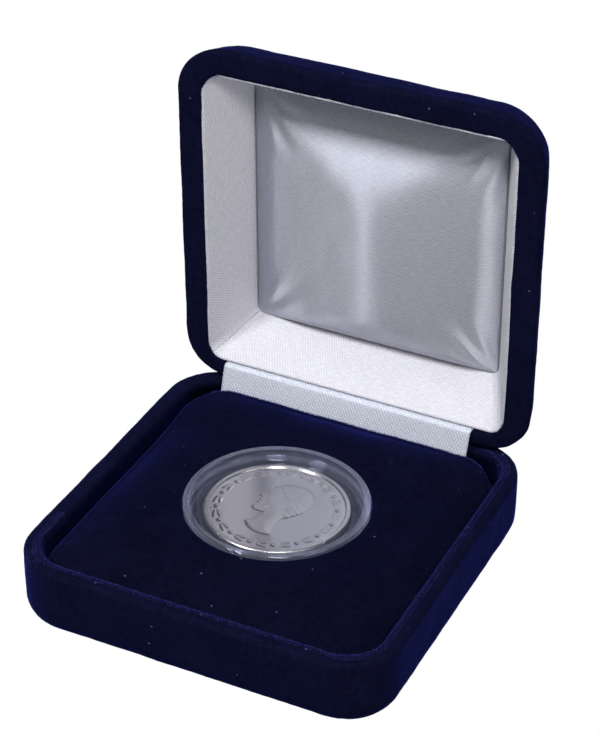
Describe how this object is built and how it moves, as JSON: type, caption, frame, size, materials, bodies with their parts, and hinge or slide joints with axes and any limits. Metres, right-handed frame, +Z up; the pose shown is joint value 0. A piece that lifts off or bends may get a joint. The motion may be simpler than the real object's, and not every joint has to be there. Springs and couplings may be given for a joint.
{
  "type": "coin display box",
  "caption": "Small square velvet-covered clamshell box with a satin-lined hinged lid, and a coin in a clear capsule set in its padded insert.",
  "frame": {"origin": "middle of the underside of the base", "axes": "+Z up from the surface it stands on, +Y to the hinge at the rear, +X to the right"},
  "size_m": [0.065, 0.0739, 0.0775],
  "materials": {
    "velvet": "dark blue velvet pile",
    "insert_velvet": "dark blue velvet pile",
    "satin": "white satin weave",
    "moulding": "moulded",
    "board": "flocked dark board",
    "card": "grey board",
    "foam": "open foam",
    "hinge_steel": "plated",
    "spring_steel": "tempered",
    "clear_plastic": "clear moulded acrylic",
    "coin_metal": "silver-grey struck metal"
  },
  "bodies": {
    "base": {"base_shell": "moulding", "base_velvet": "velvet", "underside_board": "board", "insert_card": "card", "insert_foam": "foam", "insert_velvet": "insert_velvet", "base_hinge_leaf": "hinge_steel", "hinge_pin": "hinge_steel", "snap_spring": "spring_steel", "base_rivets": "hinge_steel", "hinge_strap": "satin", "spine_cloth": "velvet"},
    "lid": {"lid_shell": "moulding", "lid_velvet": "velvet", "lid_hinge_leaf": "hinge_steel", "lid_rivets": "hinge_steel", "pad_card": "card", "pad_foam": "foam", "pad_satin": "satin", "lining_card_right": "card", "lining_satin_right": "satin", "lining_card_rear": "card", "lining_satin_rear": "satin", "lining_card_left": "card", "lining_satin_left": "satin", "lining_card_front": "card", "lining_satin_front": "satin"},
    "capsule_lower": {"capsule_base": "clear_plastic"},
    "coin_body": {"coin": "coin_metal"},
    "capsule_upper": {"capsule_lid": "clear_plastic"}
  },
  "joints": [
    {"name": "lid_hinge", "type": "hinge", "parent": "base", "child": "lid", "pos_m": [0, 0.0308, 0.0143], "axis": [1, 0, 0], "range_deg": [0, 88], "deforming": ["hinge_strap", "spine_cloth"]},
    {"name": "capsule_lift", "type": "slide", "parent": "base", "child": "capsule_lower", "axis": [0, 0, 1], "range_m": [0, 0.0031]},
    {"name": "coin_lift", "type": "slide", "parent": "capsule_lower", "child": "coin_body", "axis": [0, 0, 1], "range_m": [0, 0.001]},
    {"name": "capsule_lid_lift", "type": "slide", "parent": "coin_body", "child": "capsule_upper", "axis": [0, 0, 1], "range_m": [0, 0.0015]}
  ]
}
